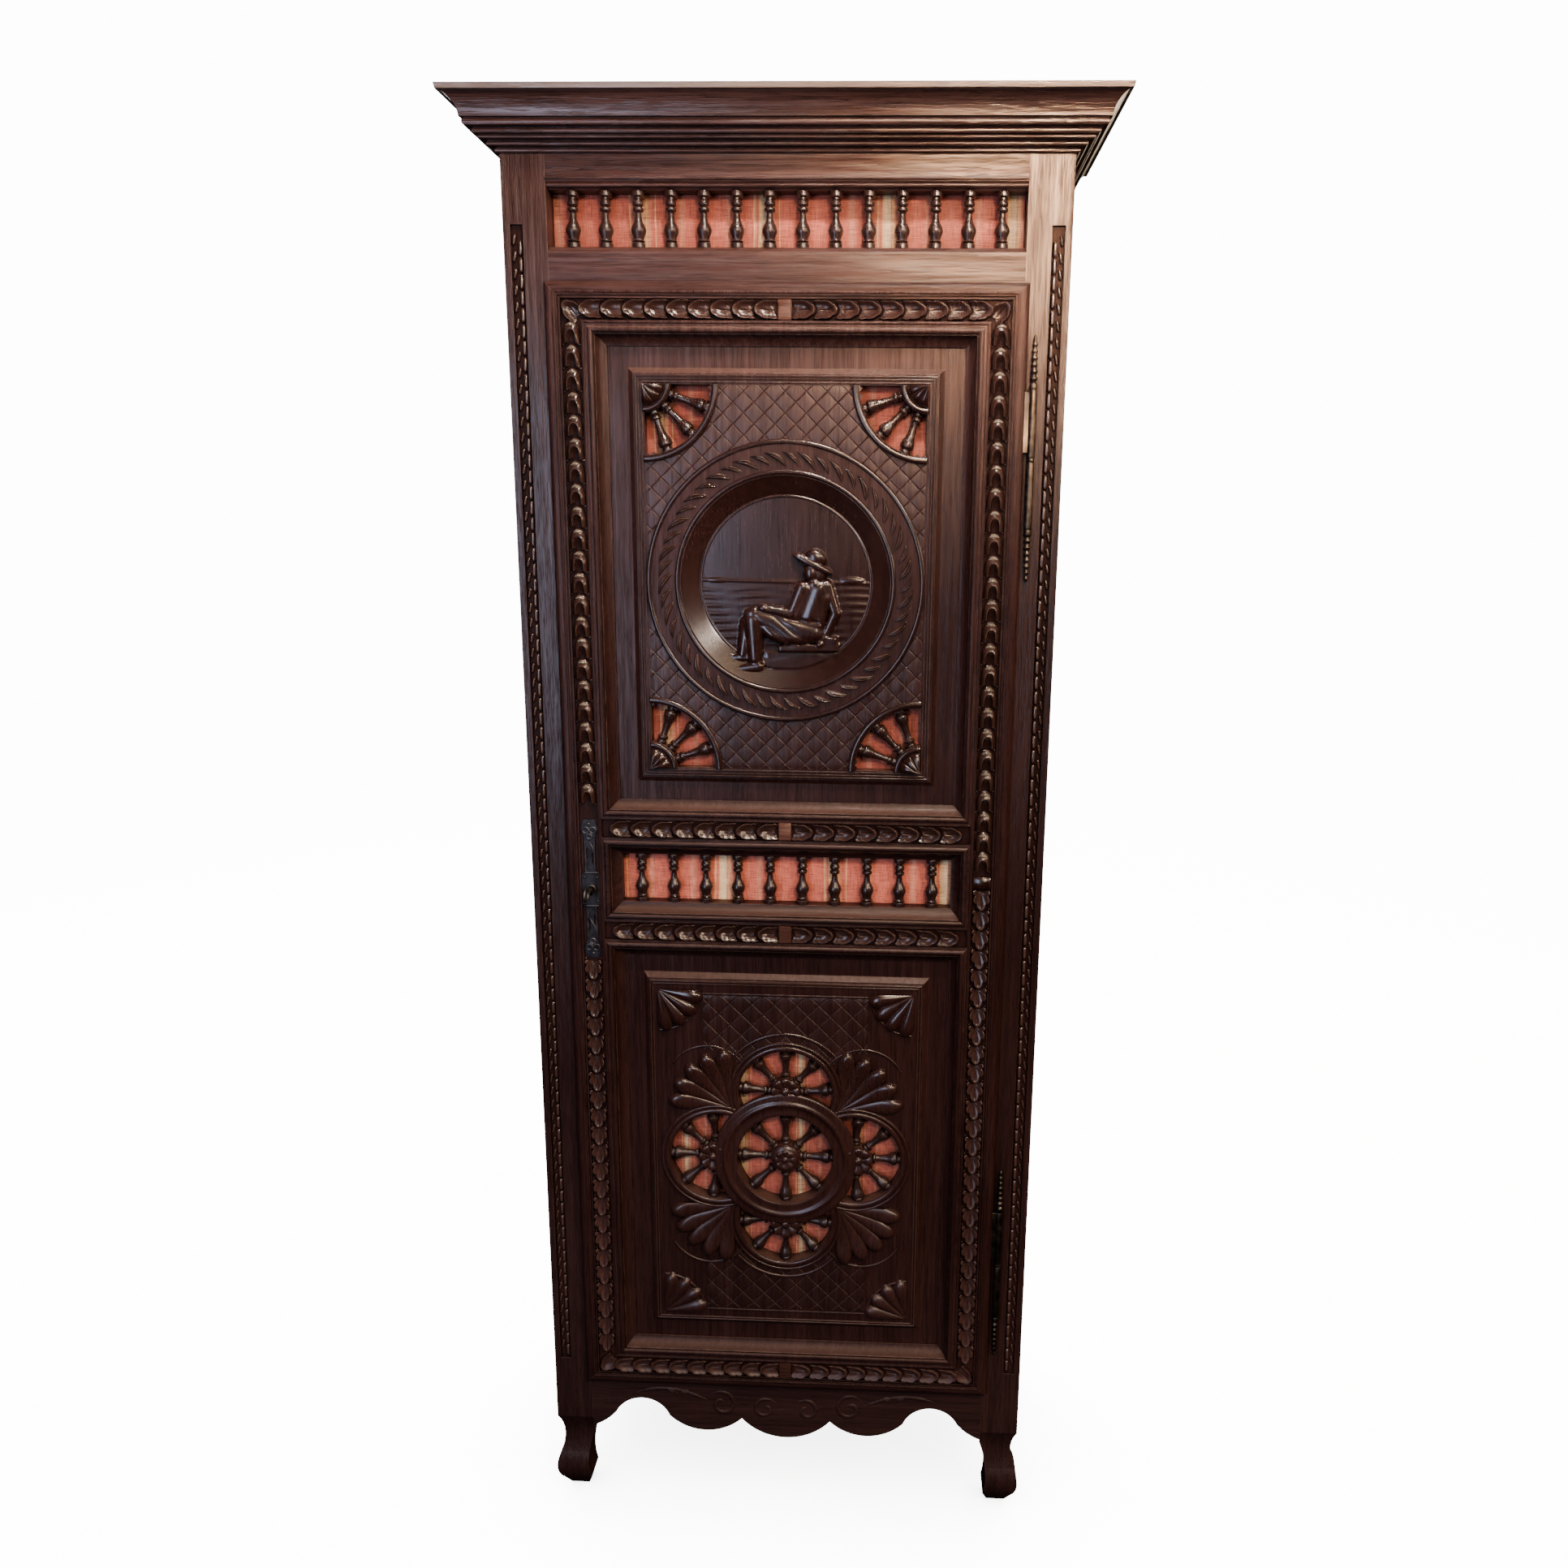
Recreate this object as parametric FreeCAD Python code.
import FreeCAD, Part
import math
import os

from FreeCAD import Vector

# All sizes are millimetres. X runs to the right, Y back into the cabinet, Z up from the floor.
# A "depth" is counted back from the face of the front stiles, so what stands proud is negative.

# Case posts
CASE_WIDTH = 710.0
CASE_DEPTH = 280.0
CASE_TOP = 1975.0
STILE_WIDTH = 56.0
STILE_DEPTH = 50.0
POST_DEPTH = 40.0

# Front feet, carved on the ends of the stiles
FOOT_HEIGHT = 150.0
FOOT_KNEE = 132.0
FOOT_BACK_KNEE = 106.0
FOOT_TOE = 3.0
FOOT_ANKLE = 8.0
FOOT_HEEL = 10.0
FOOT_SOLE_INSET = 14.0

# Flute that holds the bead chain on each stile
FLUTE_INSET = 9.0
FLUTE_WIDTH = 16.0
FLUTE_DEPTH = 5.0
FLUTE_FOOT = 28.0
FLUTE_HEAD = 120.0

# Front rails and the joints of the frame
RAIL_THICK = 28.0
TENON_LENGTH = 30.0
TENON_THICK = 9.0
TENON_SHOULDER = 10.0
OPENING_BOTTOM = 208.0
FRIEZE_HEAD = 78.0
FRIEZE_HEIGHT = 67.0
FRIEZE_SILL = 48.0
FRIEZE_CHAMFER = 9.0
LEDGE_CHAMFER = 6.0

# Scalloped lower edge of the apron: share of the half width, and drop below the door opening
APRON_END = (1.0, 90.0)
APRON_TOE = (0.926, 78.0)
APRON_SHOULDER = (0.876, 63.0)
APRON_PEAK = (0.793, 41.0)
APRON_SLOPE = (0.602, 67.0)
APRON_LOBE = (0.395, 91.0)
APRON_CUSP = (0.227, 68.0)
APRON_TONGUE = (0.0, 99.0)

# Side frames, back frame and boards
SIDE_THICK = 24.0
SIDE_RAIL_HEIGHT = 96.0
SIDE_PANEL_THICK = 12.0
SIDE_FIELD_RISE = 4.0
SIDE_FIELD_BORDER = 26.0
SIDE_FIELD_BEVEL = 12.0
GROOVE_DEPTH = 8.0
GROOVE_FLOAT = 1.0
FIT = 0.2
BACK_RAIL_THICK = 20.0
BACK_BOARD_THICK = 12.0
BACK_BOARD_COUNT = 4
BACK_LAP = 10.0
TOP_BOARD_THICK = 15.0

# Shelves and the battens under them
FLOOR_BOARD_THICK = 18.0
SHELF_THICK = 16.0
SHELF_COUNT = 3
SHELF_SIDE_PLAY = 1.0
SHELF_FRONT = 46.0
BATTEN_WIDTH = 18.0
BATTEN_HEIGHT = 20.0
BATTEN_LAP = 6.0

# Cornice: five beads that step out, a cove and a top fillet
CORNICE_DROP = 38.0
CORNICE_OUT = 57.0
BEAD_HEIGHTS = (4.6, 4.6, 3.4, 5.6, 7.2)
BEAD_REACH = (4.6, 12.0, 20.0, 25.0, 33.6)
BEAD_QUIRK = 1.0
BEAD_ROUND = 1.6
COVE_FOOT_OUT = 36.0
COVE_HEIGHT = 23.5
COVE_HEAD_OUT = 51.0
FILLET_STEP = 4.5
FILLET_HEIGHT = 6.5

# Door: lipped frame with mitred corners
DOOR_LIP = 6.0
DOOR_PLAY = 2.5
LIP_REST = 0.5
DOOR_PROUD = 10.0
DOOR_BACK = 22.0
LIP_EDGE = 3.0
LIP_ROUND = 9.0
QUIRK_AT = 17.0
QUIRK_WIDTH = 2.5
QUIRK_DEPTH = 2.0
BAND_AT = 21.0
BAND_WIDTH = 26.0
BAND_DEPTH = 4.0
MEMBER_WIDTH = 52.0
REAR_LIP = 20.0
BELT_SHARE = 0.5064
BELT_CORE = 30.0
GALLERY_HEIGHT = 70.0

# Mitred mouldings round the door panels and the gallery
MOULDING_WIDTH = 24.0
MOULDING_FILLET = 2.5
MOULDING_BEAD = 7.0
MOULDING_BEAD_RISE = 2.0
MOULDING_QUIRK = 2.0
MOULDING_TIP = 2.0
MOULDING_HOLLOW = 2.2

# Door panels
PANEL_FRONT = 6.0
PANEL_TONGUE = 8.0
FIELD_BORDER = 26.0
FIELD_BEVEL = 7.0
FIELD_STEP = 2.0
FIELD_RISE = 8.0
RIM_RISE = 2.5

# Upper panel: pierced corners and medallion
CORNER_INSET = 12.0
CORNER_RIM = 9.0
CORNER_SPINDLE_COUNT = 3
CORNER_SHARE = 0.478
CORNER_HUB_SHARE = 0.19
MEDALLION_MARGIN = 10.0
MEDALLION_RING_SHARE = 0.245
DISH_SLOPE_SHARE = 0.136
DISH_DEPTH = 10.0

# Lower panel: a spoked wheel with four lobes round it
WHEEL_MARGIN = 12.0
WHEEL_OPENING_SHARE = 0.385
WHEEL_RING_SHARE = 0.148
WHEEL_HUB_SHARE = 0.121
WHEEL_RING_RISE = 4.0
WHEEL_HUB_RISE = 3.0
WHEEL_HUB_CROWN = 4.0
WHEEL_SPINDLE_COUNT = 8
LOBE_OFFSET_SHARE = 0.549
LOBE_OPENING_SHARE = 0.374
LOBE_RIM_SHARE = 0.077
LOBE_ANGLES = (-84.0, -42.0, 0.0, 42.0, 84.0)

# Turned spindles: radius along the share of the length
BALUSTER = ((6.0, 0.0), (8.5, 0.28), (3.6, 0.66), (6.4, 1.0))
SPOKE = ((4.6, 0.0), (3.2, 0.36), (7.0, 0.72), (4.6, 1.0))
SPINDLE_SIDE_COUNT = 8
HUB_SIDE_COUNT = 16
DISH_SIDE_COUNT = 48
FRIEZE_COUNT = 14
FRIEZE_END = 28.6
GALLERY_COUNT = 10
GALLERY_END = 24.7
SEAT_GAP = 0.05

# Cloth behind the pierced work
CLOTH_THICK = 0.8
CLOTH_HEM = 12.0
CLOTH_PLAY = 1.0

# Pin hinges with turned finials
HINGE_OFFSET = 15.0
HINGE_PROUD = 5.5
HINGE_RADIUS = 5.0
HINGE_SHARES = (0.1406, 0.8651)
BARREL_LENGTH = 186.0
BARREL_GAP = 0.3
FINIAL = ((5.0, 0.0), (2.8, 0.14), (4.8, 0.32), (2.4, 0.52), (4.2, 0.7), (0.8, 1.0))
FINIAL_LENGTH = 60.0
HINGE_PIN_RADIUS = 2.5
HINGE_PIN_LENGTH = 55.0
HINGE_BORE_PLAY = 0.06
LEAF_THICK = 2.5
LEAF_MARGIN = 9.0
DOOR_LEAF_REACH = 17.0
FRAME_LEAF_REACH = 22.0

# Lock, key and keeper
KEY_DROP = 15.0
KEY_RADIUS = 3.0
KEY_END = 1.0
KEY_PLAY = 0.3
KEY_STEM_OUT = 24.0
BOW_RADIUS = 9.0
BOW_WIRE = 2.2
BIT_LENGTH = 9.0
BIT_THICK = 2.8
BIT_PLAY = 0.4
LOCK_WIDTH = 50.0
LOCK_DEPTH = 18.0
LOCK_HEIGHT = 88.0
LOCK_WALL = 2.0
BOLT_THICK = 8.0
BOLT_SETBACK = 1.0
BOLT_HEIGHT = 14.0
BOLT_LIFT = 5.0
BOLT_THROW = 12.0
BOLT_TAIL_GAP = 4.0
BOLT_NOTCH = 24.0
BOLT_NOTCH_DEPTH = 4.5
BOLT_PLAY = 0.3
KEEPER_PLAY = 1.0
KEEPER_THICK = 1.5
KEEPER_WIDTH = 22.0
KEEPER_HEIGHT = 56.0

# Pierced escutcheon laid in the band of the lock stile
PLATE_HEIGHT = 200.0
PLATE_THICK = 1.5
PLATE_PLAY = 0.5
PLATE_NECK = 15.0
PLATE_BLOCK = 44.0
PLATE_SLOT_WIDTH = 3.0
PLATE_SLOT_HEIGHT = 22.0
PLATE_SLOT_OFFSET = 4.0

# Places that follow from the sizes above
FACE_Y = (CORNICE_OUT - CASE_DEPTH) / 2
HALF_WIDTH = CASE_WIDTH / 2
INNER_X = HALF_WIDTH - STILE_WIDTH
POST_FRONT = CASE_DEPTH - POST_DEPTH
CORNICE_BOTTOM = CASE_TOP - CORNICE_DROP
FRIEZE_TOP = CASE_TOP - FRIEZE_HEAD
FRIEZE_BOTTOM = FRIEZE_TOP - FRIEZE_HEIGHT
OPENING_TOP = FRIEZE_BOTTOM - FRIEZE_SILL
SIDE_RAIL_BOTTOM = OPENING_BOTTOM - SIDE_RAIL_HEIGHT
BELT_Z = OPENING_BOTTOM + BELT_SHARE * (OPENING_TOP - OPENING_BOTTOM)
SHELF_PITCH = (CASE_TOP - OPENING_BOTTOM) / (SHELF_COUNT + 1)
LIP_X = INNER_X + DOOR_LIP
LIP_BOTTOM = OPENING_BOTTOM - DOOR_LIP
LIP_TOP = OPENING_TOP + DOOR_LIP
MEMBER_X = LIP_X - MEMBER_WIDTH
OPEN_X = MEMBER_X - MOULDING_WIDTH
REAR_X = MEMBER_X - REAR_LIP
PANEL_BACK = PANEL_FRONT + PANEL_TONGUE
FIELD_FRONT = PANEL_FRONT - FIELD_RISE
GALLERY_BOTTOM = BELT_Z - GALLERY_HEIGHT / 2
GALLERY_TOP = BELT_Z + GALLERY_HEIGHT / 2
LOWER_CORE = GALLERY_BOTTOM - MOULDING_WIDTH - BELT_CORE
UPPER_CORE = GALLERY_TOP + MOULDING_WIDTH
LOWER_OPEN = (LIP_BOTTOM + MEMBER_WIDTH + MOULDING_WIDTH, LOWER_CORE - MOULDING_WIDTH)
UPPER_OPEN = (UPPER_CORE + BELT_CORE + MOULDING_WIDTH, LIP_TOP - MEMBER_WIDTH - MOULDING_WIDTH)
FIELD_INSET = FIELD_BORDER + FIELD_BEVEL + FIELD_STEP
FIELD_X = OPEN_X - FIELD_INSET
UPPER_HALF = min(FIELD_X, (UPPER_OPEN[1] - UPPER_OPEN[0]) / 2 - FIELD_INSET)
LOWER_HALF = min(FIELD_X, (LOWER_OPEN[1] - LOWER_OPEN[0]) / 2 - FIELD_INSET)
MEDALLION_RADIUS = UPPER_HALF - MEDALLION_MARGIN
MEDALLION_RING = MEDALLION_RING_SHARE * MEDALLION_RADIUS
DISH_SLOPE = DISH_SLOPE_SHARE * MEDALLION_RADIUS
CORNER_RADIUS = CORNER_SHARE * MEDALLION_RADIUS
CORNER_HUB = CORNER_HUB_SHARE * MEDALLION_RADIUS
WHEEL_RADIUS = LOWER_HALF - WHEEL_MARGIN
WHEEL_OPENING = WHEEL_OPENING_SHARE * WHEEL_RADIUS
WHEEL_RING = WHEEL_RING_SHARE * WHEEL_RADIUS
WHEEL_HUB = WHEEL_HUB_SHARE * WHEEL_RADIUS
LOBE_OFFSET = LOBE_OFFSET_SHARE * WHEEL_RADIUS
LOBE_OPENING = LOBE_OPENING_SHARE * WHEEL_RADIUS
LOBE_RIM = LOBE_RIM_SHARE * WHEEL_RADIUS
SPOKE_DEPTH = (FIELD_FRONT + PANEL_BACK) / 2
FRIEZE_PITCH = 2 * (INNER_X - FRIEZE_END) / (FRIEZE_COUNT - 1)
GALLERY_PITCH = 2 * (OPEN_X - GALLERY_END) / (GALLERY_COUNT - 1)
HINGE_X = INNER_X + HINGE_OFFSET
HINGE_HEIGHTS = [LIP_BOTTOM + share * (LIP_TOP - LIP_BOTTOM) for share in HINGE_SHARES]
KEY_X = -LIP_X + BAND_AT + BAND_WIDTH / 2
KEY_Z = BELT_Z - KEY_DROP
LOCK_X = -LIP_X + DOOR_LIP + DOOR_PLAY + SHELF_SIDE_PLAY
BAND_FLOOR = BAND_DEPTH - DOOR_PROUD
BOLT_MID = DOOR_BACK + (LOCK_DEPTH - LOCK_WALL) / 2 + BOLT_SETBACK
SIDES = (("left", -1), ("right", 1))


# Building blocks

def box(x0, x1, depth0, depth1, z0, z1):
    """A square block between two corners."""
    corner = Vector(min(x0, x1), FACE_Y + depth0, z0)
    return Part.makeBox(abs(x1 - x0), depth1 - depth0, z1 - z0, corner)


def disc(x, z, radius, depth0, depth1):
    """A round block whose axis runs from front to back."""
    return Part.makeCylinder(radius, depth1 - depth0, Vector(x, FACE_Y + depth0, z), Vector(0, 1, 0))


def trace(steps, place):
    """A closed face: two numbers draw a line, four an arc through a point to its end."""
    here = place(*steps[0])
    first = here
    edges = []
    for step in steps[1:]:
        end = place(*step[-2:])
        if len(step) == 4:
            edges.append(Part.Arc(here, place(*step[:2]), end).toShape())
        else:
            edges.append(Part.LineSegment(here, end).toShape())
        here = end
    edges.append(Part.LineSegment(here, first).toShape())
    return Part.Face(Part.Wire(edges))


def plate(points, depth0, depth1):
    """A flat board cut to an outline seen from the front."""
    face = trace(points, lambda x, z: Vector(x, FACE_Y + depth0, z))
    return face.extrude(Vector(0, depth1 - depth0, 0))


def turned(profile, start, direction, length, flats):
    """A round piece worked in flats about its axis from (radius, share of length) points."""
    angles = [2 * math.pi * number / flats for number in range(flats)]
    rings = []
    for radius, share in profile:
        rings.append([Vector(radius * math.cos(a), radius * math.sin(a), share * length) for a in angles])
    outlines = [rings[0], rings[-1]]
    for lower, upper in zip(rings, rings[1:]):
        for number in range(flats):
            outlines.append([lower[number - 1], lower[number], upper[number], upper[number - 1]])
    faces = [Part.Face(Part.makePolygon(outline + outline[:1])) for outline in outlines]
    solid = Part.makeSolid(Part.makeShell(faces))
    solid.Placement = FreeCAD.Placement(start, FreeCAD.Rotation(Vector(0, 0, 1), direction))
    return solid


def mirror(shape):
    """The same piece for the other side of the cabinet."""
    return shape.mirror(Vector(), Vector(1, 0, 0))


def tapered_block(x0, x1, z0, z1, inset, depth_foot, depth_head):
    """A raised field whose four edges slope in towards its front."""
    foot = [(x0, z0), (x1, z0), (x1, z1), (x0, z1)]
    x2, x3, z2, z3 = x0 + inset, x1 - inset, z0 + inset, z1 - inset
    head = [(x2, z2), (x3, z2), (x3, z3), (x2, z3)]
    wires = []
    for corners, depth in ((foot, depth_foot), (head, depth_head)):
        ring = [Vector(x, FACE_Y + depth, z) for x, z in corners + corners[:1]]
        wires.append(Part.makePolygon(ring))
    return Part.makeLoft(wires, True, True)


def mitred(steps, side, frame):
    """One side of a rectangular frame: a section of (width in, depth) steps with mitred ends."""
    x0, x1, z0, z1 = frame
    reach = max(step[-2] for step in steps)
    places = {
        "left": lambda w, d: Vector(x0 + w, FACE_Y + d, z0),
        "right": lambda w, d: Vector(x1 - w, FACE_Y + d, z0),
        "bottom": lambda w, d: Vector(x0, FACE_Y + d, z0 + w),
        "top": lambda w, d: Vector(x0, FACE_Y + d, z1 - w),
    }
    ends = {
        "left": [(x0, z0), (x0 + reach, z0 + reach), (x0 + reach, z1 - reach), (x0, z1)],
        "right": [(x1, z0), (x1 - reach, z0 + reach), (x1 - reach, z1 - reach), (x1, z1)],
        "bottom": [(x0, z0), (x0 + reach, z0 + reach), (x1 - reach, z0 + reach), (x1, z0)],
        "top": [(x0, z1), (x0 + reach, z1 - reach), (x1 - reach, z1 - reach), (x1, z1)],
    }
    along = Vector(0, 0, z1 - z0) if side in ("left", "right") else Vector(x1 - x0, 0, 0)
    length = trace(steps, places[side]).extrude(along)
    return length.common(plate(ends[side], -CASE_DEPTH, CASE_DEPTH)).Solids[0]


# Case frame

def foot_view(span, place):
    """One view of a foot under its square top: hollow ankle, round toe, flat sole and hollow heel."""
    steps = [
        (0, FOOT_HEIGHT),
        (0, FOOT_KNEE),
        (FOOT_ANKLE, FOOT_KNEE * 0.68, FOOT_ANKLE / 3, FOOT_KNEE * 0.5),
        (-FOOT_TOE, FOOT_KNEE * 0.36, FOOT_SOLE_INSET / 3, FOOT_KNEE * 0.13),
        (FOOT_SOLE_INSET, 0),
        (span - FOOT_SOLE_INSET, 0),
        (span - FOOT_HEEL * 0.7, FOOT_BACK_KNEE * 0.18),
        (span - FOOT_HEEL, FOOT_BACK_KNEE * 0.48, span, FOOT_BACK_KNEE),
        (span, FOOT_HEIGHT),
    ]
    return trace(steps, place)


def right_stile_blank():
    """A front stile with its carved foot and the flute for the bead chain."""
    post = box(INNER_X, HALF_WIDTH, 0, STILE_DEPTH, FOOT_HEIGHT, CASE_TOP)
    reach = STILE_WIDTH + STILE_DEPTH
    front_view = foot_view(STILE_WIDTH, lambda u, z: Vector(HALF_WIDTH - u, FACE_Y - reach / 2, z))
    side_view = foot_view(STILE_DEPTH, lambda v, z: Vector(INNER_X - reach / 2, FACE_Y + v, z))
    foot = front_view.extrude(Vector(0, 2 * reach, 0)).common(side_view.extrude(Vector(2 * reach, 0, 0)))
    outer = HALF_WIDTH - FLUTE_INSET
    flute_bottom = OPENING_BOTTOM + FLUTE_FOOT
    flute = box(outer - FLUTE_WIDTH, outer, 0, FLUTE_DEPTH, flute_bottom, CASE_TOP - FLUTE_HEAD)
    return post.fuse(foot).removeSplitter().cut(flute)


def front_tenon(z0, z1, side):
    """The tenon at one end of a front rail, which the stile's mortise matches."""
    mid = RAIL_THICK / 2
    inner = side * INNER_X
    outer = side * (INNER_X + TENON_LENGTH)
    depth0 = mid - TENON_THICK / 2
    return box(inner, outer, depth0, depth0 + TENON_THICK, z0 + TENON_SHOULDER, z1 - TENON_SHOULDER)


def front_rail(z0, z1):
    """A straight rail between the front stiles, without its tenons."""
    return box(-INNER_X, INNER_X, 0, RAIL_THICK, z0, z1)


def edge_chamfer(z, rise, cut):
    """A long three-cornered block that bevels the front edge of a rail."""
    section = [(0, z), (0, z + rise), (cut, z)]
    face = trace(section, lambda depth, height: Vector(-INNER_X, FACE_Y + depth, height))
    return face.extrude(Vector(2 * INNER_X, 0, 0))


def apron_outline():
    """The apron seen from the front, with its scallops as arcs."""
    half = (APRON_TONGUE, APRON_CUSP, APRON_LOBE, APRON_SLOPE, APRON_PEAK, APRON_SHOULDER, APRON_TOE, APRON_END)
    right = [Vector(share * INNER_X, FACE_Y, OPENING_BOTTOM - drop) for share, drop in half]
    left = [Vector(-point.x, point.y, point.z) for point in reversed(right[1:])]
    run = left + right
    edges = []
    for number in range(0, len(run) - 1, 2):
        edges.append(Part.Arc(*run[number:number + 3]).toShape())
    top_right = Vector(INNER_X, FACE_Y, OPENING_BOTTOM)
    top_left = Vector(-INNER_X, FACE_Y, OPENING_BOTTOM)
    for start, end in ((right[-1], top_right), (top_right, top_left), (top_left, left[0])):
        edges.append(Part.LineSegment(start, end).toShape())
    return Part.Face(Part.Wire(edges))


def side_levels():
    """Bottom and top of the three rails of a side."""
    low = SIDE_RAIL_BOTTOM
    mid = BELT_Z - SIDE_RAIL_HEIGHT / 2
    high = CASE_TOP - SIDE_RAIL_HEIGHT
    return [(z, z + SIDE_RAIL_HEIGHT) for z in (low, mid, high)]


def side_tenon(z0, z1, depth):
    """A tenon of a side rail, seen in the mortise of the stile or the post."""
    x0 = HALF_WIDTH - SIDE_THICK / 2 - TENON_THICK / 2
    lower = z0 + TENON_SHOULDER
    upper = z1 - TENON_SHOULDER
    return box(x0, x0 + TENON_THICK, depth, depth + TENON_LENGTH, lower, upper)


def side_groove(z0, z1, depth0, depth1):
    """The groove that the edge of a side panel slides in."""
    mid = HALF_WIDTH - SIDE_THICK / 2
    half = SIDE_PANEL_THICK / 2 + FIT
    return box(mid - half, mid + half, depth0, depth1, z0, z1)


def right_side_frame():
    """Rails and panels of one side, with the cuts that they need in the stile and the post."""
    levels = side_levels()
    rails = []
    cuts = []
    for z0, z1 in levels:
        rail = box(HALF_WIDTH - SIDE_THICK, HALF_WIDTH, STILE_DEPTH, POST_FRONT, z0, z1)
        for depth in (STILE_DEPTH - TENON_LENGTH, POST_FRONT):
            tenon = side_tenon(z0, z1, depth)
            rail = rail.fuse(tenon)
            cuts.append(tenon)
        rails.append(rail)
    panels = []
    mid = HALF_WIDTH - SIDE_THICK / 2
    tongue = GROOVE_DEPTH - GROOVE_FLOAT
    for (_, low), (high, _) in zip(levels, levels[1:]):
        front = STILE_DEPTH - GROOVE_DEPTH
        groove = side_groove(low - GROOVE_DEPTH, high + GROOVE_DEPTH, front, POST_FRONT + GROOVE_DEPTH)
        cuts.append(groove)
        rails = [rail.cut(groove) for rail in rails]
        x0 = mid - SIDE_PANEL_THICK / 2
        x1 = mid + SIDE_PANEL_THICK / 2
        sheet = box(x0, x1, STILE_DEPTH - tongue, POST_FRONT + tongue, low - tongue, high + tongue)
        panels.append(sheet.fuse(side_field(x1, low, high)).removeSplitter())
    return rails, panels, cuts


def side_field(x, low, high):
    """The raised middle of a side panel, bevelled on all four edges."""
    wires = []
    for inset, rise in ((SIDE_FIELD_BORDER, 0), (SIDE_FIELD_BORDER + SIDE_FIELD_BEVEL, SIDE_FIELD_RISE)):
        y0 = FACE_Y + STILE_DEPTH + inset
        y1 = FACE_Y + POST_FRONT - inset
        corners = [(y0, low + inset), (y1, low + inset), (y1, high - inset), (y0, high - inset)]
        ring = [Vector(x + rise, y, z) for y, z in corners + corners[:1]]
        wires.append(Part.makePolygon(ring))
    return Part.makeLoft(wires, True, True)


def back_tenon(z0, z1, side):
    """A tenon of a back rail in the rear post."""
    mid = CASE_DEPTH - BACK_BOARD_THICK - BACK_RAIL_THICK / 2
    depth0 = mid - TENON_THICK / 2
    outer = side * (INNER_X + TENON_LENGTH)
    lower = z0 + TENON_SHOULDER
    return box(side * INNER_X, outer, depth0, depth0 + TENON_THICK, lower, z1 - TENON_SHOULDER)


def back_rails():
    """Three rails between the rear posts, level with the rails of the sides."""
    rails = []
    for z0, z1 in side_levels():
        back = CASE_DEPTH - BACK_BOARD_THICK
        rail = box(-INNER_X, INNER_X, back - BACK_RAIL_THICK, back, z0, z1)
        for side in (-1, 1):
            rail = rail.fuse(back_tenon(z0, z1, side))
        rails.append(rail)
    return rails


def back_boards():
    """Upright boards with half-lapped edges, nailed on the back rails."""
    front = CASE_DEPTH - BACK_BOARD_THICK
    middle = front + BACK_BOARD_THICK / 2
    span = 2 * (INNER_X - SHELF_SIDE_PLAY)
    pitch = span / BACK_BOARD_COUNT
    boards = []
    for number in range(BACK_BOARD_COUNT):
        x0 = number * pitch - span / 2
        x1 = x0 + pitch - FIT
        lap0 = 0 if number == 0 else BACK_LAP
        lap1 = 0 if number == BACK_BOARD_COUNT - 1 else BACK_LAP
        inner = box(x0, x1, front, middle, SIDE_RAIL_BOTTOM, CASE_TOP)
        outer = box(x0 + lap0, x1 + lap1, middle, CASE_DEPTH, SIDE_RAIL_BOTTOM, CASE_TOP)
        boards.append(inner.fuse(outer).removeSplitter())
    return boards


def shelf_levels():
    """Tops of the battens under the floor board and the shelves."""
    shelves = [OPENING_BOTTOM + number * SHELF_PITCH for number in range(1, SHELF_COUNT + 1)]
    return [OPENING_BOTTOM - FLOOR_BOARD_THICK] + shelves


def shelf_board(z, thick, front):
    """A board that lies on the battens between the posts."""
    back = CASE_DEPTH - BACK_BOARD_THICK - BACK_RAIL_THICK - FIT
    half = INNER_X - SHELF_SIDE_PLAY
    return box(-half, half, front, back, z, z + thick)


def battens(side):
    """The battens of one side, fixed to the stile and the post."""
    back = CASE_DEPTH - BACK_BOARD_THICK - BACK_RAIL_THICK - FIT
    inner = side * (INNER_X - BATTEN_WIDTH)
    outer = side * INNER_X
    front = STILE_DEPTH - BATTEN_LAP
    return [box(inner, outer, front, back, z - BATTEN_HEIGHT, z) for z in shelf_levels()]


def cornice_section():
    """The cornice from below: stepped beads, the cove, the fillet and the flat top."""
    steps = [(0, 0)]
    height = 0.0
    for rise, reach in zip(BEAD_HEIGHTS, BEAD_REACH):
        root = reach - BEAD_ROUND
        top = height + rise
        steps.append((root, height))
        steps.append((reach, height + rise / 2, root, top))
        steps.append((root, top + BEAD_QUIRK))
        height = top + BEAD_QUIRK
    steps.append((COVE_FOOT_OUT, height))
    head = height + COVE_HEIGHT
    third = (COVE_HEAD_OUT - COVE_FOOT_OUT) / 3
    steps.append((COVE_FOOT_OUT + third, height + COVE_HEIGHT * 0.62, COVE_HEAD_OUT, head))
    steps.append((COVE_HEAD_OUT + FILLET_STEP, head))
    steps.append((CORNICE_OUT, head + FILLET_HEIGHT))
    steps.append((0, head + FILLET_HEIGHT))
    return steps


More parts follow.
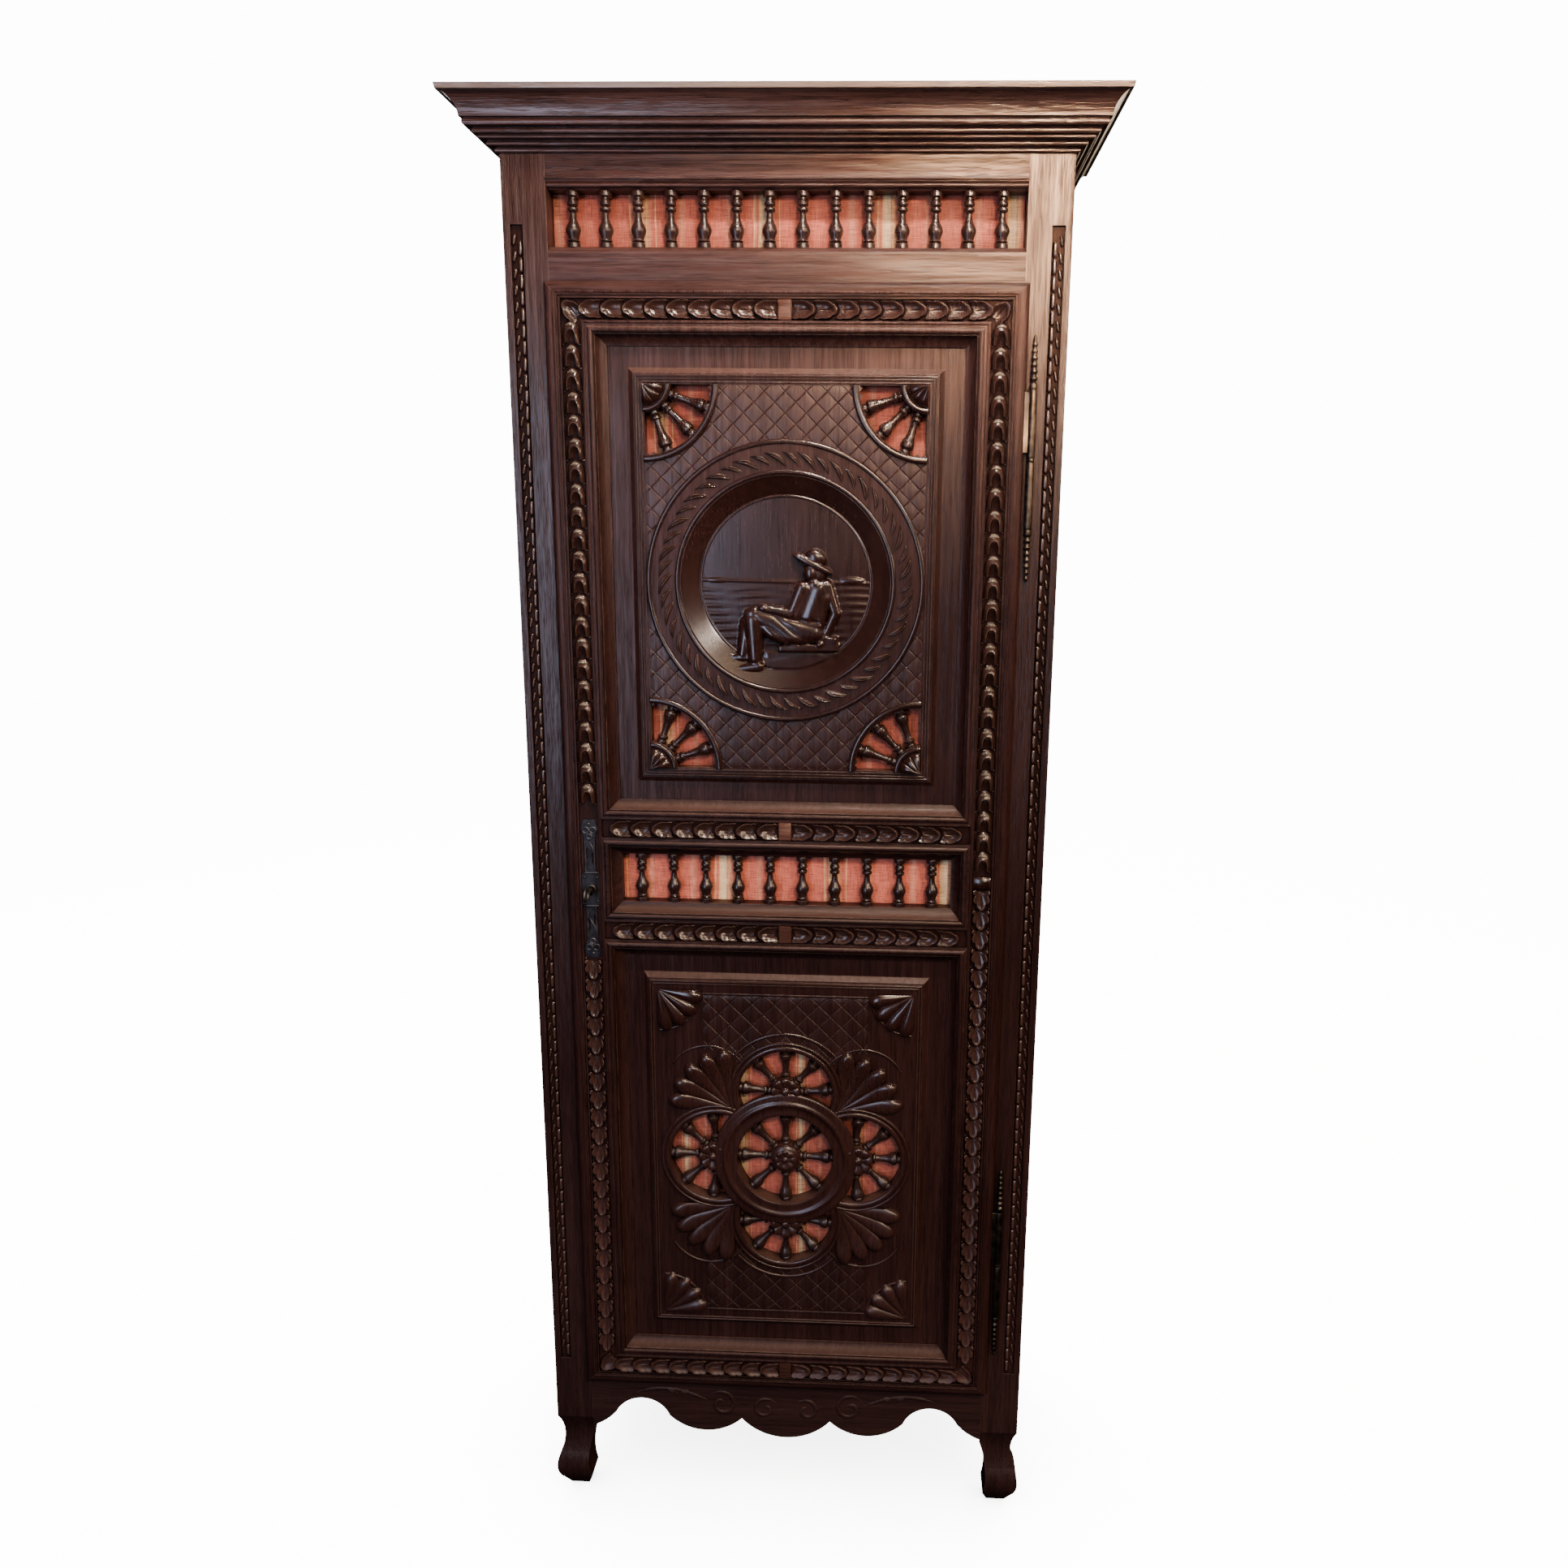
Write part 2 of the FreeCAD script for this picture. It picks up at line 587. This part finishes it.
def cornice():
    """The front length and the two returns, mitred at the front corners."""
    steps = cornice_section()
    tip = HALF_WIDTH + CORNICE_OUT
    front_place = lambda out, z: Vector(-tip, FACE_Y - out, CORNICE_BOTTOM + z)
    front = trace(steps, front_place).extrude(Vector(2 * tip, 0, 0))
    side_place = lambda out, z: Vector(HALF_WIDTH + out, FACE_Y - CORNICE_OUT, CORNICE_BOTTOM + z)
    side = trace(steps, side_place).extrude(Vector(0, CASE_DEPTH + CORNICE_OUT, 0))
    y_tip = FACE_Y - CORNICE_OUT
    y_back = FACE_Y + CASE_DEPTH
    front_plan = [(-HALF_WIDTH, FACE_Y), (-tip, y_tip), (tip, y_tip), (HALF_WIDTH, FACE_Y)]
    side_plan = [(HALF_WIDTH, FACE_Y), (tip, y_tip), (tip, y_back), (HALF_WIDTH, y_back)]
    pieces = []
    for solid, plan in ((front, front_plan), (side, side_plan)):
        ring = [Vector(x, y, CORNICE_BOTTOM) for x, y in plan + plan[:1]]
        block = Part.Face(Part.makePolygon(ring)).extrude(Vector(0, 0, CASE_TOP))
        pieces.append(solid.common(block).Solids[0])
    return pieces[0], mirror(pieces[1]), pieces[1]


# Door frame, mouldings and panels

def member_section():
    """Section of the door's outer members: lip, quirk, sunk band and the rebate for the panel."""
    face = -DOOR_PROUD
    edge = -LIP_REST - LIP_EDGE
    body = DOOR_LIP + DOOR_PLAY
    rear = MEMBER_WIDTH + REAR_LIP
    slack = PANEL_BACK + FIT
    swell = LIP_ROUND * 0.3
    return [
        (0, -LIP_REST),
        (0, edge),
        (swell, edge + (face - edge) * 0.72, LIP_ROUND, face),
        (QUIRK_AT, face),
        (QUIRK_AT, face + QUIRK_DEPTH),
        (QUIRK_AT + QUIRK_WIDTH, face + QUIRK_DEPTH),
        (QUIRK_AT + QUIRK_WIDTH, face),
        (BAND_AT, face),
        (BAND_AT, BAND_FLOOR),
        (BAND_AT + BAND_WIDTH, BAND_FLOOR),
        (BAND_AT + BAND_WIDTH, face),
        (MEMBER_WIDTH, face),
        (MEMBER_WIDTH, slack),
        (rear, slack),
        (rear, DOOR_BACK),
        (body, DOOR_BACK),
        (body, -LIP_REST),
    ]


def corner_tenon(side, top):
    """The tenon of the top or bottom rail in the stile, behind the mitre."""
    inner = MEMBER_WIDTH - TENON_SHOULDER
    outer = DOOR_LIP + DOOR_PLAY + TENON_SHOULDER
    z_edge = LIP_TOP if top else LIP_BOTTOM
    sign = -1 if top else 1
    z0, z1 = sorted((z_edge + sign * outer, z_edge + sign * inner))
    return box(side * (LIP_X - inner), side * (LIP_X - outer), 0, TENON_THICK, z0, z1)


def belt_tenon(core, side):
    """The tenon of a belt rail in the stile."""
    shoulder = BELT_CORE / 6
    outer = side * (MEMBER_X + TENON_LENGTH)
    return box(side * MEMBER_X, outer, 0, TENON_THICK, core + shoulder, core + BELT_CORE - shoulder)


def belt_rail(core, gallery_above):
    """A belt rail: sunk band, ledge for the gallery spindles and rear lip for the panel."""
    rear_slack = PANEL_BACK + FIT
    top = core + BELT_CORE
    rail = box(-MEMBER_X, MEMBER_X, -DOOR_PROUD, rear_slack, core, top)
    rail = rail.fuse(box(-REAR_X, REAR_X, rear_slack, DOOR_BACK, core, top))
    if gallery_above:
        ledge = (top, top + MOULDING_WIDTH)
        lip = (core - REAR_LIP, core)
    else:
        ledge = (core - MOULDING_WIDTH, core)
        lip = (top, top + REAR_LIP)
    rail = rail.fuse(box(-MEMBER_X, MEMBER_X, PANEL_FRONT, rear_slack, *ledge))
    rail = rail.fuse(box(-REAR_X, REAR_X, rear_slack, DOOR_BACK, *ledge))
    rail = rail.fuse(box(-REAR_X, REAR_X, rear_slack, DOOR_BACK, *lip))
    for side in (-1, 1):
        rail = rail.fuse(belt_tenon(core, side))
    middle = core + BELT_CORE / 2
    band = box(-MEMBER_X, MEMBER_X, -DOOR_PROUD, BAND_FLOOR, middle - BAND_WIDTH / 2, middle + BAND_WIDTH / 2)
    return rail.removeSplitter().cut(band)


def moulding_section(back):
    """Section of a panel moulding: fillet, bead, quirk and a hollow slope to the panel."""
    face = -DOOR_PROUD
    bead_end = MOULDING_FILLET + MOULDING_BEAD
    slope = bead_end + MOULDING_QUIRK
    tip = back - MOULDING_TIP
    mid = ((slope + MOULDING_WIDTH) / 2 - MOULDING_HOLLOW, (face + tip) / 2 + MOULDING_HOLLOW)
    return [
        (0, back),
        (0, face),
        (MOULDING_FILLET, face),
        (MOULDING_FILLET + MOULDING_BEAD / 2, face - MOULDING_BEAD_RISE, bead_end, face),
        (bead_end, face + MOULDING_QUIRK),
        (slope, face + MOULDING_QUIRK),
        (slope, face),
        (mid[0], mid[1], MOULDING_WIDTH, tip),
        (MOULDING_WIDTH, back),
    ]


def moulding_frame(z0, z1):
    """Four mitred lengths round an opening whose bottom and top are given."""
    frame = (-MEMBER_X, MEMBER_X, z0 - MOULDING_WIDTH, z1 + MOULDING_WIDTH)
    steps = moulding_section(PANEL_FRONT)
    return [mitred(steps, side, frame) for side in ("left", "right", "bottom", "top")]


def gallery_moulding():
    """The gallery's mouldings, whose upright lengths are packed out to the rear lip."""
    lengths = moulding_frame(GALLERY_BOTTOM, GALLERY_TOP)
    for number, side in enumerate((-1, 1)):
        back = PANEL_BACK + FIT
        packing = box(side * OPEN_X, side * MEMBER_X, PANEL_FRONT, back, GALLERY_BOTTOM, GALLERY_TOP)
        lengths[number] = lengths[number].fuse(packing).removeSplitter()
    return lengths


def fielded_panel(opening):
    """A panel with its tongue under the mouldings and a stepped, bevelled field."""
    z0, z1 = opening
    tongue = MOULDING_WIDTH - GROOVE_FLOAT
    panel = box(-OPEN_X - tongue, OPEN_X + tongue, PANEL_FRONT, PANEL_BACK, z0 - tongue, z1 + tongue)
    x = OPEN_X - FIELD_BORDER
    bevel_top = FIELD_FRONT + FIELD_STEP
    low = z0 + FIELD_BORDER
    high = z1 - FIELD_BORDER
    panel = panel.fuse(tapered_block(-x, x, low, high, FIELD_BEVEL, PANEL_FRONT, bevel_top))
    inset = FIELD_BEVEL + FIELD_STEP
    step = box(-x + inset, x - inset, FIELD_FRONT, bevel_top, low + inset, high - inset)
    return panel.fuse(step).removeSplitter()


def corner_places():
    """Corner point of each pierced quarter and the signs that point into the panel."""
    inset = FIELD_INSET + CORNER_INSET
    x = OPEN_X - inset
    low = UPPER_OPEN[0] + inset
    high = UPPER_OPEN[1] - inset
    return [(-x, high, 1, -1), (x, high, -1, -1), (-x, low, 1, 1), (x, low, -1, 1)]


def quarter(place, radius, depth0, depth1):
    """The quarter of a disc that lies inside the panel from a corner."""
    x, z, across, up = place
    whole = disc(x, z, radius, depth0, depth1)
    z_end = z + up * radius
    return whole.common(box(x, x + across * radius, depth0, depth1, min(z, z_end), max(z, z_end)))


def upper_panel():
    """The medallion panel, pierced in its four corners."""
    panel = fielded_panel(UPPER_OPEN)
    z = sum(UPPER_OPEN) / 2
    crest = FIELD_FRONT - RIM_RISE
    panel = panel.fuse(disc(0, z, MEDALLION_RADIUS, crest, FIELD_FRONT))
    for place in corner_places():
        panel = panel.fuse(quarter(place, CORNER_RADIUS + CORNER_RIM, crest, FIELD_FRONT))
    panel = panel.removeSplitter()
    rim = MEDALLION_RADIUS - MEDALLION_RING
    floor = rim - DISH_SLOPE
    dish_floor = FIELD_FRONT + DISH_DEPTH
    mouth = Vector(0, FACE_Y + crest, z)
    slope = ((rim, 0.0), (floor, 1.0))
    panel = panel.cut(turned(slope, mouth, Vector(0, 1, 0), dish_floor - crest, DISH_SIDE_COUNT))
    for place in corner_places():
        opening = quarter(place, CORNER_RADIUS, crest, PANEL_BACK)
        opening = opening.cut(quarter(place, CORNER_HUB, crest, PANEL_BACK))
        panel = panel.cut(opening)
    return panel.Solids[0]


def spoke(x, z, angle, start, wall):
    """A turned spoke from a hub to the round wall of its opening."""
    direction = Vector(math.cos(angle), 0, math.sin(angle))
    centre = Vector(x, FACE_Y + SPOKE_DEPTH, z)
    end = math.sqrt(wall ** 2 - SPOKE[-1][0] ** 2) - SEAT_GAP
    first = start + SEAT_GAP
    return turned(SPOKE, centre + direction * first, direction, end - first, SPINDLE_SIDE_COUNT)


def corner_spindles():
    """Three spokes in each pierced corner."""
    pieces = []
    for x, z, across, up in corner_places():
        for number in range(CORNER_SPINDLE_COUNT):
            share = math.radians(90) * (number + 0.75) / (CORNER_SPINDLE_COUNT + 0.5)
            angle = math.atan2(up * math.sin(share), across * math.cos(share))
            pieces.append(spoke(x, z, angle, CORNER_HUB, CORNER_RADIUS))
    return pieces


def lobe_places():
    """Centres of the four lobes and the direction that each one faces."""
    z = sum(LOWER_OPEN) / 2
    angles = [math.radians(90) * number for number in range(4)]
    return [(LOBE_OFFSET * math.cos(a), z + LOBE_OFFSET * math.sin(a), a) for a in angles]


def lower_panel():
    """The wheel panel: a pierced round with a raised ring, and four pierced lobes behind the ring."""
    panel = fielded_panel(LOWER_OPEN)
    z = sum(LOWER_OPEN) / 2
    crest = FIELD_FRONT - RIM_RISE
    ring = WHEEL_OPENING + WHEEL_RING
    for x, lobe_z, _ in lobe_places():
        panel = panel.fuse(disc(x, lobe_z, LOBE_OPENING + LOBE_RIM, crest, FIELD_FRONT))
    panel = panel.removeSplitter()
    ring_block = disc(0, z, ring, crest, PANEL_BACK)
    for x, lobe_z, _ in lobe_places():
        opening = disc(x, lobe_z, LOBE_OPENING, crest, PANEL_BACK)
        opening = opening.cut(disc(x, lobe_z, WHEEL_HUB, crest, PANEL_BACK)).cut(ring_block)
        panel = panel.cut(opening)
    face = crest - WHEEL_RING_RISE
    panel = panel.fuse(disc(0, z, ring, face, crest))
    panel = panel.cut(disc(0, z, WHEEL_OPENING, face, PANEL_BACK))
    return panel.removeSplitter().Solids[0]


def wheel_hub():
    """The bevelled hub that the eight spokes carry."""
    z = sum(LOWER_OPEN) / 2
    top = FIELD_FRONT - WHEEL_HUB_RISE - WHEEL_HUB_CROWN
    depth = PANEL_BACK - top
    profile = ((WHEEL_HUB / 2, 0.0), (WHEEL_HUB, WHEEL_HUB_CROWN / depth), (WHEEL_HUB, 1.0))
    return turned(profile, Vector(0, FACE_Y + top, z), Vector(0, 1, 0), depth, HUB_SIDE_COUNT)


def wheel_spindles():
    """The spokes of the wheel and of its four lobes."""
    z = sum(LOWER_OPEN) / 2
    pieces = []
    for number in range(WHEEL_SPINDLE_COUNT):
        angle = 2 * math.pi * number / WHEEL_SPINDLE_COUNT
        pieces.append(spoke(0, z, angle, WHEEL_HUB, WHEEL_OPENING))
    for x, lobe_z, facing in lobe_places():
        for lean in LOBE_ANGLES:
            pieces.append(spoke(x, lobe_z, facing + math.radians(lean), WHEEL_HUB, LOBE_OPENING))
    return pieces


def gallery_row(count, pitch, depth, bottom, top):
    """A row of upright balusters between two rails."""
    first = -pitch * (count - 1) / 2
    starts = [Vector(first + number * pitch, FACE_Y + depth, bottom) for number in range(count)]
    return [turned(BALUSTER, start, Vector(0, 0, 1), top - bottom, SPINDLE_SIDE_COUNT) for start in starts]


def cloth(x, depth, z0, z1):
    """A stretched backing cloth."""
    return box(-x, x, depth, depth + CLOTH_THICK, z0, z1)


def panel_cloth(opening):
    """The cloth on the back of a pierced panel, inside the rear lips."""
    hem = MOULDING_WIDTH - REAR_LIP - CLOTH_PLAY
    return cloth(OPEN_X + hem, PANEL_BACK, opening[0] - hem, opening[1] + hem)


# Hinges and lock

def leaf_span(mid, up):
    """Bottom and top of a hinge leaf on the upper or lower half of its barrel."""
    near = mid + up * LEAF_MARGIN
    far = mid + up * (BARREL_LENGTH / 2 - LEAF_MARGIN)
    return min(near, far), max(near, far)


def door_leaf(mid, play):
    """The leaf let into the lip of the door, with play all round for its slot."""
    z0, z1 = leaf_span(mid, 1)
    half = LEAF_THICK / 2 + play
    return box(LIP_X - DOOR_LEAF_REACH, HINGE_X, -HINGE_PROUD - half, half - HINGE_PROUD, z0 - play, z1 + play)


def frame_leaf(mid, play):
    """The leaf let into the face of the stile, with play all round for its slot."""
    z0, z1 = leaf_span(mid, -1)
    half = LEAF_THICK / 2 + play
    return box(HINGE_X - half, HINGE_X + half, -HINGE_PROUD, FRAME_LEAF_REACH + play, z0 - play, z1 + play)


def hinge(mid):
    """The door half with its bore and the frame half with its pin."""
    centre = Vector(HINGE_X, FACE_Y - HINGE_PROUD, mid)
    up = Vector(0, 0, 1)
    half = (BARREL_LENGTH - BARREL_GAP) / 2
    base = centre + up * (BARREL_GAP / 2)
    door_half = Part.makeCylinder(HINGE_RADIUS, half, base, up).fuse(door_leaf(mid, 0))
    door_half = door_half.fuse(turned(FINIAL, base + up * half, up, FINIAL_LENGTH, SPINDLE_SIDE_COUNT))
    bore = Part.makeCylinder(HINGE_PIN_RADIUS + HINGE_BORE_PLAY, HINGE_PIN_LENGTH + BARREL_GAP, base, up)
    low = centre - up * (BARREL_LENGTH / 2)
    frame_half = Part.makeCylinder(HINGE_RADIUS, half, low, up).fuse(frame_leaf(mid, 0))
    frame_half = frame_half.fuse(turned(FINIAL, low, -up, FINIAL_LENGTH, SPINDLE_SIDE_COUNT))
    pin = Part.makeCylinder(HINGE_PIN_RADIUS, half + HINGE_PIN_LENGTH, low, up)
    return door_half.cut(bore).removeSplitter(), frame_half.fuse(pin).removeSplitter()


def keyhole(depth0, depth1):
    """The hole that the key passes through, with a slot for its bit."""
    radius = KEY_RADIUS + KEY_PLAY
    half = BIT_THICK / 2 + BIT_PLAY
    slot = box(KEY_X - half, KEY_X + half, depth0, depth1, KEY_Z - BIT_LENGTH - BIT_PLAY, KEY_Z)
    return disc(KEY_X, KEY_Z, radius, depth0, depth1).fuse(slot)


def bolt_block(play, reach):
    """The space of the bolt, from its tip at the case edge, with play and extra reach to the left."""
    z0 = KEY_Z + BOLT_LIFT - play
    tail = LOCK_X + LOCK_WIDTH - BOLT_TAIL_GAP
    depth0 = BOLT_MID - BOLT_THICK / 2 - play
    return box(LOCK_X - reach, tail, depth0, depth0 + BOLT_THICK + 2 * play, z0, z0 + BOLT_HEIGHT + 2 * play)


def lock_bolt():
    """The bolt, drawn back, with the notch that the bit turns in."""
    middle = KEY_X + BOLT_THROW / 2
    z0 = KEY_Z + BOLT_LIFT
    half = BOLT_NOTCH / 2
    notch = box(middle - half, middle + half, 0, CASE_DEPTH, z0, z0 + BOLT_NOTCH_DEPTH)
    return bolt_block(0, 0).cut(notch)


def lock_case():
    """The box on the back of the lock stile, open towards the wood."""
    z0 = KEY_Z - LOCK_HEIGHT / 2
    z1 = KEY_Z + LOCK_HEIGHT / 2
    back = DOOR_BACK + LOCK_DEPTH
    case = box(LOCK_X, LOCK_X + LOCK_WIDTH, DOOR_BACK, back, z0, z1)
    x0 = LOCK_X + LOCK_WALL
    x1 = LOCK_X + LOCK_WIDTH - LOCK_WALL
    case = case.cut(box(x0, x1, DOOR_BACK, back - LOCK_WALL, z0 + LOCK_WALL, z1 - LOCK_WALL))
    forend = bolt_block(BOLT_PLAY, 0)
    return case.cut(forend)


def key():
    """The key: ring bow, stem through the stile and a bit inside the lock case."""
    end = BOLT_MID + BOLT_THICK / 2 + KEY_END
    stem = disc(KEY_X, KEY_Z, KEY_RADIUS, -KEY_STEM_OUT, end)
    centre = Vector(KEY_X, FACE_Y - KEY_STEM_OUT - BOW_RADIUS, KEY_Z)
    across = Vector(1, 0, 0)
    side = centre - across * BOW_WIRE
    rings = []
    for radius in (BOW_RADIUS + BOW_WIRE, BOW_RADIUS - BOW_WIRE):
        rings.append(turned(((radius, 0.0), (radius, 1.0)), side, across, 2 * BOW_WIRE, HUB_SIDE_COUNT))
    bow = rings[0].cut(rings[1])
    half = BIT_THICK / 2
    front = BOLT_MID - BOLT_THICK / 2
    bit = box(KEY_X - half, KEY_X + half, front, front + BOLT_THICK, KEY_Z - BIT_LENGTH, KEY_Z)
    return stem.fuse(bow).fuse(bit).removeSplitter()


def keeper_hole():
    """The mortise in the lock-side stile that the bolt shoots into."""
    stile = box(-HALF_WIDTH, -INNER_X, 0, STILE_DEPTH, 0, CASE_TOP)
    return bolt_block(KEEPER_PLAY, BOLT_THROW + KEEPER_PLAY).common(stile)


def keeper_plate():
    """The plate let into the stile round the bolt's mortise."""
    z = KEY_Z + BOLT_LIFT + BOLT_HEIGHT / 2
    half = KEEPER_HEIGHT / 2
    depth0 = BOLT_MID - KEEPER_WIDTH / 2
    return box(-INNER_X - KEEPER_THICK, -INNER_X, depth0, depth0 + KEEPER_WIDTH, z - half, z + half)


def escutcheon():
    """A tall pierced plate: a square block at the keyhole, slotted necks and pointed ends."""
    depth0 = BAND_FLOOR - PLATE_THICK
    half = BAND_WIDTH / 2 - PLATE_PLAY
    neck = PLATE_NECK / 2
    block = PLATE_BLOCK / 2
    tip = PLATE_HEIGHT / 2
    swell = tip - half
    right = [(neck, block), (neck, swell - half), (half, swell), (neck, tip)]
    corner = [(half, -block), (half, block)]
    low = [(x, -z) for x, z in reversed(right)]
    outline = low + corner + right
    outline += [(-x, z) for x, z in reversed(outline)]
    body = plate([(KEY_X + x, KEY_Z + z) for x, z in outline], depth0, BAND_FLOOR)
    body = body.cut(keyhole(depth0, BAND_FLOOR))
    half_slot = PLATE_SLOT_WIDTH / 2
    for up in (-1, 1):
        middle = KEY_Z + up * (swell - half + block) / 2
        for across in (-1, 1):
            x = KEY_X + across * PLATE_SLOT_OFFSET
            z0 = middle - PLATE_SLOT_HEIGHT / 2
            body = body.cut(box(x - half_slot, x + half_slot, depth0, BAND_FLOOR, z0, z0 + PLATE_SLOT_HEIGHT))
    return body


# The whole cabinet

def build_case(nodes):
    """Stiles, posts, rails, sides, back, boards and cornice."""
    rails, panels, side_cuts = right_side_frame()
    stile = right_stile_blank()
    post = box(INNER_X, HALF_WIDTH, POST_FRONT, CASE_DEPTH, 0, CASE_TOP)
    for cut in side_cuts:
        stile = stile.cut(cut)
        post = post.cut(cut)
    apron_peak = OPENING_BOTTOM - APRON_PEAK[1]
    front_spans = ((apron_peak, OPENING_BOTTOM), (OPENING_TOP, FRIEZE_BOTTOM), (FRIEZE_TOP, CASE_TOP))
    for z0, z1 in front_spans:
        stile = stile.cut(front_tenon(z0, z1, 1))
    for z0, z1 in side_levels():
        post = post.cut(back_tenon(z0, z1, 1))
    right_stile = stile
    for mid in HINGE_HEIGHTS:
        right_stile = right_stile.cut(frame_leaf(mid, FIT))
    left_stile = mirror(stile).cut(keeper_plate()).cut(keeper_hole())
    nodes["left_front_stile"] = [left_stile]
    nodes["right_front_stile"] = [right_stile]
    nodes["left_rear_post"] = [mirror(post)]
    nodes["right_rear_post"] = [post]

    top_rail = front_rail(FRIEZE_TOP, CASE_TOP).cut(edge_chamfer(FRIEZE_TOP, FRIEZE_CHAMFER, FRIEZE_CHAMFER))
    low_rail = front_rail(OPENING_TOP, FRIEZE_BOTTOM)
    low_rail = low_rail.cut(edge_chamfer(FRIEZE_BOTTOM, -LEDGE_CHAMFER, LEDGE_CHAMFER))
    apron = apron_outline().extrude(Vector(0, RAIL_THICK, 0))
    names = ("apron", "frieze_bottom_rail", "frieze_top_rail")
    for name, rail, (z0, z1) in zip(names, (apron, low_rail, top_rail), front_spans):
        for side in (-1, 1):
            rail = rail.fuse(front_tenon(z0, z1, side))
        nodes[name] = [rail.removeSplitter()]
    middle = RAIL_THICK / 2
    nodes["frieze_spindles"] = gallery_row(FRIEZE_COUNT, FRIEZE_PITCH, middle, FRIEZE_BOTTOM, FRIEZE_TOP)
    half = INNER_X - CLOTH_PLAY
    nodes["frieze_cloth"] = [cloth(half, RAIL_THICK, FRIEZE_BOTTOM - CLOTH_HEM, FRIEZE_TOP + CLOTH_HEM)]

    for number, level in enumerate(("bottom", "middle", "top")):
        nodes[f"right_side_{level}_rail"] = [rails[number]]
        nodes[f"left_side_{level}_rail"] = [mirror(rails[number])]
    for number, level in enumerate(("lower", "upper")):
        nodes[f"right_side_{level}_panel"] = [panels[number]]
        nodes[f"left_side_{level}_panel"] = [mirror(panels[number])]
    nodes["back_rails"] = back_rails()
    nodes["back_boards"] = back_boards()
    nodes["top_board"] = [box(-HALF_WIDTH, HALF_WIDTH, 0, CASE_DEPTH, CASE_TOP, CASE_TOP + TOP_BOARD_THICK)]
    levels = shelf_levels()
    nodes["floor_board"] = [shelf_board(levels[0], FLOOR_BOARD_THICK, RAIL_THICK + FIT)]
    for number, z in enumerate(levels[1:], 1):
        nodes[f"shelf_{number}"] = [shelf_board(z, SHELF_THICK, SHELF_FRONT)]
    for name, side in SIDES:
        nodes[f"{name}_shelf_battens"] = battens(side)
    front, left_return, right_return = cornice()
    nodes["cornice_front"] = [front]
    nodes["cornice_left_return"] = [left_return]
    nodes["cornice_right_return"] = [right_return]


def build_door(nodes):
    """The lipped door with its pierced panels, mouldings, spindles and cloths."""
    frame = (-LIP_X, LIP_X, LIP_BOTTOM, LIP_TOP)
    steps = member_section()
    lock_stile = mitred(steps, "left", frame)
    hinge_stile = mitred(steps, "right", frame)
    bottom_rail = mitred(steps, "bottom", frame)
    top_rail = mitred(steps, "top", frame)
    for side in (-1, 1):
        for top in (False, True):
            tenon = corner_tenon(side, top)
            if side < 0:
                lock_stile = lock_stile.cut(tenon)
            else:
                hinge_stile = hinge_stile.cut(tenon)
            if top:
                top_rail = top_rail.fuse(tenon).removeSplitter()
            else:
                bottom_rail = bottom_rail.fuse(tenon).removeSplitter()
    for core in (LOWER_CORE, UPPER_CORE):
        lock_stile = lock_stile.cut(belt_tenon(core, -1))
        hinge_stile = hinge_stile.cut(belt_tenon(core, 1))
    for mid in HINGE_HEIGHTS:
        hinge_stile = hinge_stile.cut(door_leaf(mid, FIT))
    nodes["door_lock_stile"] = [lock_stile.cut(keyhole(BAND_FLOOR, DOOR_BACK))]
    nodes["door_hinge_stile"] = [hinge_stile]
    nodes["door_bottom_rail"] = [bottom_rail]
    nodes["door_top_rail"] = [top_rail]
    nodes["door_lower_belt_rail"] = [belt_rail(LOWER_CORE, True)]
    nodes["door_upper_belt_rail"] = [belt_rail(UPPER_CORE, False)]
    nodes["lower_panel_moulding"] = moulding_frame(*LOWER_OPEN)
    nodes["gallery_moulding"] = gallery_moulding()
    nodes["upper_panel_moulding"] = moulding_frame(*UPPER_OPEN)
    nodes["lower_panel"] = [lower_panel()]
    nodes["upper_panel"] = [upper_panel()]
    nodes["wheel_hub"] = [wheel_hub()]
    nodes["wheel_spindles"] = wheel_spindles()
    nodes["corner_spindles"] = corner_spindles()
    middle = DOOR_BACK - CLOTH_PLAY - max(radius for radius, share in BALUSTER)
    row = gallery_row(GALLERY_COUNT, GALLERY_PITCH, middle, GALLERY_BOTTOM, GALLERY_TOP)
    nodes["gallery_spindles"] = row
    nodes["lower_panel_cloth"] = [panel_cloth(LOWER_OPEN)]
    nodes["upper_panel_cloth"] = [panel_cloth(UPPER_OPEN)]
    hem_x = REAR_X + CLOTH_HEM - CLOTH_PLAY
    nodes["gallery_cloth"] = [cloth(hem_x, DOOR_BACK, GALLERY_BOTTOM - CLOTH_HEM, GALLERY_TOP + CLOTH_HEM)]


def build_hardware(nodes):
    """Hinges, lock, key and keeper."""
    for name, mid in zip(("lower", "upper"), HINGE_HEIGHTS):
        door_half, frame_half = hinge(mid)
        nodes[f"{name}_hinge_door_half"] = [door_half]
        nodes[f"{name}_hinge_frame_half"] = [frame_half]
    nodes["escutcheon"] = [escutcheon()]
    nodes["lock_case"] = [lock_case()]
    nodes["lock_bolt"] = [lock_bolt()]
    nodes["key"] = [key()]
    nodes["keeper_plate"] = [keeper_plate().cut(keeper_hole())]


def main():
    """Build every piece and write one file for each."""
    os.makedirs("parts", exist_ok=True)
    nodes = {}
    build_case(nodes)
    build_door(nodes)
    build_hardware(nodes)
    for name, pieces in nodes.items():
        solids = [solid for piece in pieces for solid in piece.Solids]
        bad = [solid for solid in solids if not solid.isValid()]
        print(name, len(solids), "solids", len(bad), "not valid")
        shape = solids[0] if len(solids) == 1 else Part.makeCompound(solids)
        shape.exportStep(f"parts/{name}.step")


main()
